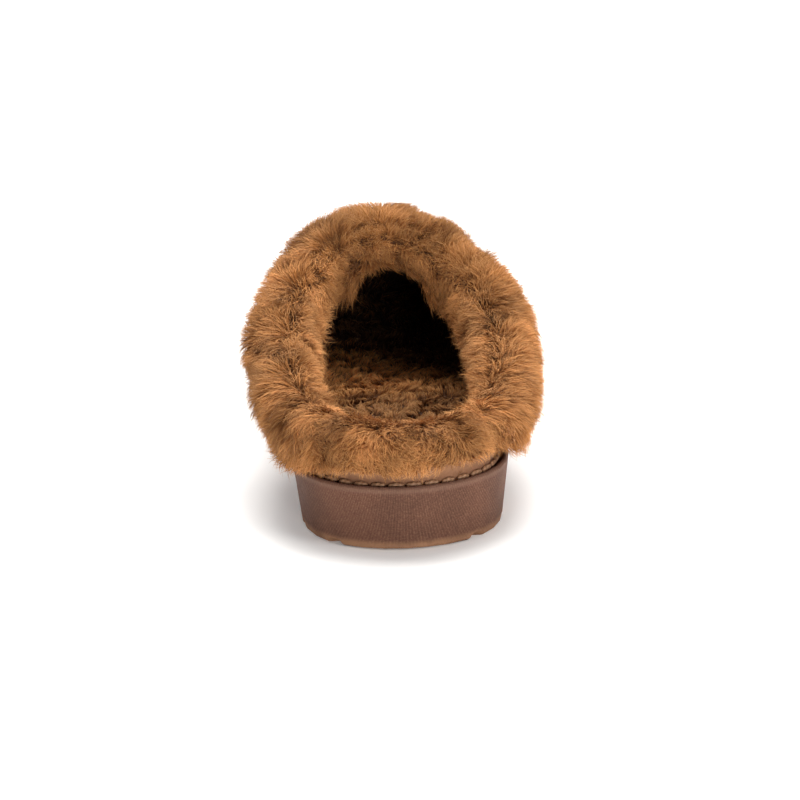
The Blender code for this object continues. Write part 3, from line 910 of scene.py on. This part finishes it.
def dress_footbed():
    """The insole: a soft pad and its short pile."""
    chance = np.random.default_rng(PILE_SEED)
    bm = node_mesh("footbed")
    ground = Ground(bm)
    for vert in bm.verts:
        vert.co -= vert.normal * PAD_SINK
    for face in bm.faces:
        face.smooth = True
    skin = skin_finish("pile_ground", PILE_SKIN)
    mesh = mesh_from(bm, "footbed_pad")
    # The pad's tint holds painted light and shade.
    put_values(mesh, "tint", painted_inside_light(ground.places))
    pad = add_piece("footbed_pad", mesh, "footbed", skin, "footbed")
    weights = (ground.facing[:, 2] > PILE_FACING) * thinned(ground.middles)
    places, normals = ground.scatter(FOOTBED_HAIRS, weights, chance)
    lay = flattened(np.tile(PILE_LAY, (len(places), 1)), normals)
    lay = turned(lay, normals, PILE_SWAY * sway(places, PILE_WAVE, chance))
    finish = fur_finish("pile", PILE_COLOURS)
    roots = Roots(places - normals * PILE_DEPTH, normals, lay)
    # The pile's tone holds painted light and shade.
    mesh = hair_mesh("footbed_fur", PILE_FUR, roots, 1.0, painted_inside_light(places), chance)
    add_piece("footbed_fur", mesh, "footbed", finish, "footbed")


def line_upper(cuff):
    """Short pile on the inner face of the upper, where the cuff doesn't cover it."""
    chance = np.random.default_rng(LINING_SEED)
    bm = node_mesh("upper")
    ground = Ground(bm)
    bm.free()
    inside = np.array([looks_inward(*face) for face in zip(ground.middles, ground.facing)])
    bare = np.array([cuff.find_nearest(middle)[3] for middle in ground.middles]) > LINING_GAP
    seen = (ground.middles[:, 2] > LINING_FLOOR) * thinned(ground.middles)
    places, normals = ground.scatter(LINING_HAIRS, inside * bare * seen, chance)
    lay = flattened(np.tile(LINING_LAY, (len(places), 1)), normals)
    lay = turned(lay, normals, LINING_SWAY * sway(places, LINING_WAVE, chance))
    finish = fur_finish("lining", SHADED_LINING_COLOURS)
    roots = Roots(places, normals, lay)
    # The lining's tone holds painted light and shade.
    mesh = hair_mesh("lining_fur", LINING_FUR, roots, 1.0, painted_inside_light(places), chance)
    add_piece("lining_fur", mesh, "cuff", finish)


def add_camera():
    """The camera where the photograph was taken from."""
    low, high = (Vector(corner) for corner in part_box("sole"))
    heel = Vector(((low.x + high.x) / 2, low.y + HEEL_INSET, 0))
    azimuth = math.radians(CAMERA_AZIMUTH)
    elevation = math.radians(CAMERA_ELEVATION)
    level = Vector((-math.sin(azimuth), math.cos(azimuth), 0))
    forward = level * math.cos(elevation) - Vector((0, 0, math.sin(elevation)))
    right = Vector((math.cos(azimuth), math.sin(azimuth), 0))
    up = right.cross(forward)
    pixel = CAMERA_DEPTH / CAMERA_FOCAL
    place = heel - forward * CAMERA_DEPTH
    place -= right * (HEEL_PIXEL[0] - FRAME_WIDTH / 2) * pixel
    place += up * (HEEL_PIXEL[1] - FRAME_WIDTH / 2) * pixel
    rolled = Matrix.Rotation(math.radians(CAMERA_ROLL), 3, "Z")
    looking = Matrix((right, up, -forward)).transposed() @ rolled
    made = bpy.data.objects.new("camera", bpy.data.cameras.new("camera"))
    made.data.sensor_width = SENSOR_WIDTH
    made.data.lens = CAMERA_FOCAL / FRAME_WIDTH * SENSOR_WIDTH
    made.data.clip_start = CLIP_START
    made.matrix_world = Matrix.Translation(place) @ looking.to_4x4()
    bpy.context.collection.objects.link(made)
    bpy.context.scene.camera = made


def add_lamp(lamp):
    """A square soft light that faces the slipper."""
    made = bpy.data.objects.new(lamp.name, bpy.data.lights.new(lamp.name, "AREA"))
    made.data.shape = "SQUARE"
    made.data.size = lamp.size
    made.data.energy = lamp.power
    made.data.color = lamp.colour
    made.location = lamp.place
    facing = Vector(LAMP_AIM) - Vector(lamp.place)
    made.rotation_euler = facing.to_track_quat("-Z", "Y").to_euler()
    bpy.context.collection.objects.link(made)


def studio_world():
    """Even white light, weaker from the heel's side, so that the inside of the slipper lies in shade."""
    world = bpy.data.worlds.new("studio")
    world.use_nodes = True
    tree = world.node_tree
    heading = tree.nodes.new("ShaderNodeTexCoord").outputs["Generated"]
    lean = tree.nodes.new("ShaderNodeVectorMath")
    lean.operation = "DOT_PRODUCT"
    lean.inputs[1].default_value = Vector(SKY_AXIS).normalized()
    tree.links.new(heading, lean.inputs[0])
    strength = tree.nodes.new("ShaderNodeMapRange")
    for socket, value in zip(strength.inputs[1:], (*SKY_SPAN, *SKY_STRENGTH)):
        socket.default_value = value
    tree.links.new(lean.outputs["Value"], strength.inputs[0])
    tree.links.new(strength.outputs[0], tree.nodes["Background"].inputs["Strength"])
    tree.nodes["Background"].inputs["Color"].default_value = (1, 1, 1, 1)
    return world


def add_studio():
    """A white floor that glows far off, light all round and the lamps."""
    bm = bmesh.new()
    bmesh.ops.create_grid(bm, x_segments=FLOOR_STEPS, y_segments=FLOOR_STEPS, size=FLOOR_REACH)
    floor = bpy.data.objects.new("floor", mesh_from(bm, "floor"))
    nodes = Nodes("studio_floor")
    tone = nodes.ramp(nodes.noise(scale=1.5), *FLOOR_RAMP)
    place = nodes.add("ShaderNodeVectorMath", operation="LENGTH")
    nodes.link(nodes.add("ShaderNodeTexCoord").outputs["Object"], place.inputs[0])
    glow = nodes.spread(place.outputs["Value"], *FLOOR_SPAN, *FLOOR_GLOW)
    finish = nodes.finish(
        tone,
        roughness=0.8,
        specular_ior_level=0.1,
        emission_color=(1, 1, 1),
        emission_strength=glow,
    )
    floor.data.materials.append(finish)
    bpy.context.collection.objects.link(floor)
    bpy.context.scene.world = studio_world()
    for lamp in LAMPS:
        add_lamp(lamp)
    bpy.context.scene.view_settings.view_transform = "Standard"


def main():
    rim = Rim()
    upper = node_tree("upper")
    dress_sole(rim)
    sew_channel(rim)
    punch_holes(rim)
    dress_upper()
    dress_cuff(upper)
    dress_footbed()
    line_upper(node_tree("cuff"))
    add_camera()
    add_studio()


main()
